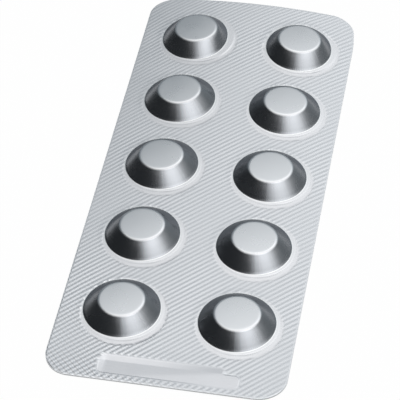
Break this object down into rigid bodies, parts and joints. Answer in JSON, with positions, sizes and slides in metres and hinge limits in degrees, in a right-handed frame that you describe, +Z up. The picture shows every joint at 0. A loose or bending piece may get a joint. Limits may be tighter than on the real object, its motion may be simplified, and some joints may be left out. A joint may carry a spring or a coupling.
{
  "type": "tablet blister pack",
  "caption": "Silver aluminium blister strip with rows of truncated-cone tablet pockets, a diagonal ridged seal and a blank code strip at one end.",
  "frame": {"origin": "centre of the bounding box's bottom, on the table under the middle of the strip", "axes": "+X across the strip, +Y along it from the end with the blank code strip to the plain end, +Z up through the pockets"},
  "size_m": [0.042, 0.102, 0.004],
  "materials": {
    "laminate": "satin"
  },
  "bodies": {
    "root": {"blister_pack": "laminate"}
  },
  "joints": []
}
